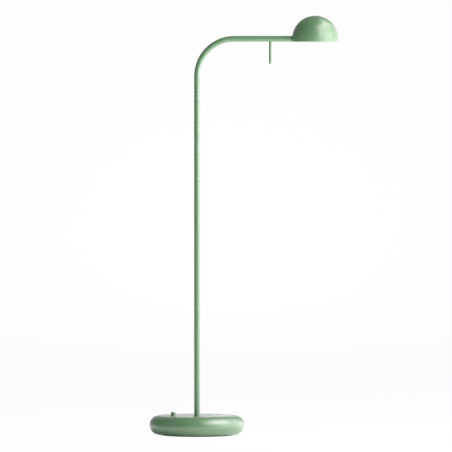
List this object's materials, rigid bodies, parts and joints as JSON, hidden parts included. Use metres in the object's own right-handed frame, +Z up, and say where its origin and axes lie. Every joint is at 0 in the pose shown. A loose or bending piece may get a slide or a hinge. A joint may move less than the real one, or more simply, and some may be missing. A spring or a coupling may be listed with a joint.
{
  "type": "adjustable arm floor lamp",
  "caption": "Floor lamp with a round weighted base and push button, a bent tube stem, and a short turning arm with a pin handle that carries a domed shade with an opal diffuser.",
  "frame": {"origin": "on the floor under the stem's centreline, at the middle of the foot pad's underside", "axes": "+Z up along the stem, +X from the stem towards the shade, so the button is at -X and the cable outlet at +Y"},
  "size_m": [0.5145, 0.2638, 1.1451],
  "materials": {
    "sage_powder_coat": "satin fine-texture powder coat, sage green",
    "cast_iron": "rough casting, black dip",
    "zinc_steel": "zinc plated, satin",
    "spring_steel": "bright drawn wire and strip",
    "soft_rubber": "matt",
    "black_plastic": "moulded, fine texture",
    "white_plastic": "moulded, semi-gloss",
    "opal_plastic": "satin opal sheet",
    "circuit_board": "green solder mask",
    "driver_parts": "mixed electronic parts",
    "lamp_board": "white solder mask on metal",
    "emitter": "clear yellow resin",
    "lead_jacket": "satin light grey jacket",
    "die_cast": "as cast, blasted",
    "bronze": "turned"
  },
  "bodies": {
    "base": {"ballast": "cast_iron", "base_plate": "zinc_steel", "base_shell": "sage_powder_coat", "bearing_housing": "zinc_steel", "button_guide": "black_plastic", "button_spring": "spring_steel", "cable_outlet": "soft_rubber", "clamp_screws": "zinc_steel", "cord_clamp": "black_plastic", "driver_board": "circuit_board", "driver_case": "black_plastic", "driver_lid": "black_plastic", "driver_parts": "driver_parts", "driver_screws": "zinc_steel", "foot_pad": "soft_rubber", "front_bush": "bronze", "guide_screws": "zinc_steel", "hub_screws": "zinc_steel", "output_plug": "black_plastic", "plate_screws": "zinc_steel", "rear_bush": "bronze", "shell_screws": "zinc_steel", "stem_bolt": "zinc_steel", "stem_hub": "zinc_steel", "stem_lead": "lead_jacket", "stem_plug": "zinc_steel", "stem_tube": "sage_powder_coat", "stem_washer": "zinc_steel", "switch_board": "circuit_board", "switch_board_screws": "zinc_steel", "switch_lead": "lead_jacket", "switch_socket": "white_plastic", "tact_switch": "black_plastic", "terminal_block": "white_plastic", "terminal_screws": "bronze"},
    "button": {"button_cap": "sage_powder_coat", "switch_plunger": "white_plastic"},
    "head": {"arm_tube": "sage_powder_coat", "handle": "sage_powder_coat", "shade": "sage_powder_coat", "bezel_ring": "sage_powder_coat", "spindle": "zinc_steel", "stop_pin": "zinc_steel", "thrust_washer": "zinc_steel", "lock_nut": "zinc_steel", "bracket_screws": "zinc_steel", "shade_screw": "zinc_steel", "board_screws": "zinc_steel", "disc_spring": "spring_steel", "lamp_socket": "white_plastic", "reflector": "white_plastic", "diffuser": "opal_plastic", "lamp_board": "lamp_board", "light_emitters": "emitter", "head_lead": "lead_jacket", "heat_sink": "die_cast", "head_bracket": "die_cast"}
  },
  "joints": [
    {"name": "arm_roll", "type": "hinge", "parent": "base", "child": "head", "pos_m": [0.19, 0, 1.082], "axis": [1, 0, 0], "range_deg": [-90, 90]},
    {"name": "button_press", "type": "slide", "parent": "base", "child": "button", "axis": [0, 0, -1], "range_m": [0, 0.0015], "stiffness_N_per_m": 400, "springref_m": -0.004, "deforming": ["button_spring"]}
  ]
}
